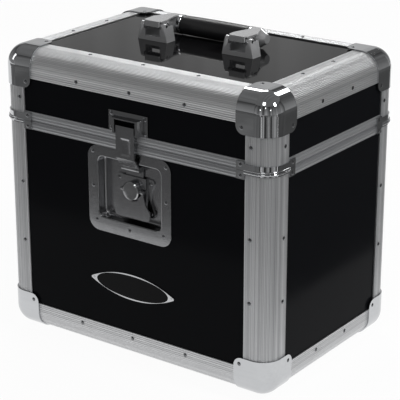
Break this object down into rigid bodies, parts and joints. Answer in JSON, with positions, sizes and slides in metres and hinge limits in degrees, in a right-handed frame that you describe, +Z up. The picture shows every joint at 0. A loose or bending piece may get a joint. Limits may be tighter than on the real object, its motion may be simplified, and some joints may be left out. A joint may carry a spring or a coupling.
{
  "type": "record_carrying_case",
  "caption": "Black flight-style record carrying case with silver aluminium edge extrusions, chrome ball corners, a recessed twist latch and a folding handle on its hinged lid",
  "frame": {"origin": "on the floor under the middle of the closed case's footprint", "axes": "+X to the case's right seen from the front, +Y to the back where the hinges are, +Z up; the latch faces -Y"},
  "size_m": [0.3778, 0.2704, 0.3744],
  "materials": {
    "black_laminate": "smooth black laminate over plywood",
    "silver_aluminium": "natural anodised extrusion with fine lengthwise flutes",
    "polished_chrome": "bright plated pressed steel",
    "satin_chrome": "plated steel, slightly satin",
    "bright_steel": "drawn and turned steel",
    "foam_lining": "dark foam pads",
    "grip_rubber": "smooth satin black grip",
    "foot_rubber": "matt black rubber",
    "badge_black": "bare gloss black"
  },
  "bodies": {
    "case_body": {"bottom_panel": "black_laminate", "body_front_panel": "black_laminate", "body_back_panel": "black_laminate", "body_left_panel": "black_laminate", "body_right_panel": "black_laminate", "body_corner_extrusions": "silver_aluminium", "bottom_edge_extrusions": "silver_aluminium", "body_rim": "silver_aluminium", "bottom_ball_corners": "polished_chrome", "lower_corner_braces": "polished_chrome", "body_rivets": "polished_chrome", "latch_dish": "satin_chrome", "latch_cover": "satin_chrome", "latch_rivets": "satin_chrome", "badge_plate": "badge_black", "badge_rim": "polished_chrome", "badge_pins": "polished_chrome", "body_foam": "foam_lining", "hinge_body_leaves": "polished_chrome", "hinge_pins": "bright_steel", "rubber_feet": "foot_rubber", "foot_screws": "bright_steel"},
    "lid": {"lid_top_panel": "black_laminate", "lid_front_panel": "black_laminate", "lid_back_panel": "black_laminate", "lid_left_panel": "black_laminate", "lid_right_panel": "black_laminate", "lid_corner_extrusions": "silver_aluminium", "top_edge_extrusions": "silver_aluminium", "lid_rim": "silver_aluminium", "top_ball_corners": "polished_chrome", "upper_corner_braces": "polished_chrome", "lid_rivets": "polished_chrome", "strike_plate": "satin_chrome", "lid_foam": "foam_lining", "hinge_lid_leaves": "polished_chrome", "handle_bracket_left": "polished_chrome", "handle_bracket_right": "polished_chrome", "handle_bracket_rivets": "polished_chrome", "handle_pivot_pins": "bright_steel", "spring_sleeves": "bright_steel", "handle_spring_left": "bright_steel", "handle_spring_right": "bright_steel"},
    "handle": {"handle_arm_left": "polished_chrome", "handle_arm_right": "polished_chrome", "handle_collars": "polished_chrome", "handle_grip": "grip_rubber", "handle_rod": "bright_steel"},
    "latch_rotor": {"latch_hub": "satin_chrome", "latch_cam": "bright_steel"},
    "latch_wing": {"latch_wing": "satin_chrome", "wing_pin": "bright_steel"},
    "latch_carriage": {"latch_carriage": "satin_chrome", "tongue_pin": "bright_steel"},
    "latch_tongue": {"latch_tongue": "satin_chrome"}
  },
  "joints": [
    {"name": "lid_hinge", "type": "hinge", "parent": "case_body", "child": "lid", "pos_m": [0, 0.1322, 0.2685], "axis": [-1, 0, 0], "range_deg": [0, 100]},
    {"name": "handle_swing", "type": "hinge", "parent": "lid", "child": "handle", "pos_m": [0, -0.0045, 0.3684], "axis": [1, 0, 0], "range_deg": [0, 90], "stiffness_Nm_per_rad": 0.12, "springref_deg": -20.05},
    {"name": "latch_turn", "type": "hinge", "parent": "case_body", "child": "latch_rotor", "pos_m": [-0.002, -0.1265, 0.212], "axis": [0, -1, 0], "range_deg": [0, 180]},
    {"name": "wing_fold", "type": "hinge", "parent": "latch_rotor", "child": "latch_wing", "pos_m": [-0.002, -0.1227, 0.212], "axis": [-1, 0, 0], "range_deg": [0, 90]},
    {"name": "carriage_slide", "type": "slide", "parent": "case_body", "child": "latch_carriage", "axis": [0, 0, 1], "range_m": [0, 0.006]},
    {"name": "tongue_tilt", "type": "hinge", "parent": "latch_carriage", "child": "latch_tongue", "pos_m": [-0.002, -0.1235, 0.238], "axis": [1, 0, 0], "range_deg": [0, 12]}
  ],
  "couplings": [
    {"joint": "wing_fold", "follows": "latch_turn", "ratio": 0.5},
    {"joint": "carriage_slide", "follows": "latch_turn", "m_per_rad": 0.0019099}
  ]
}
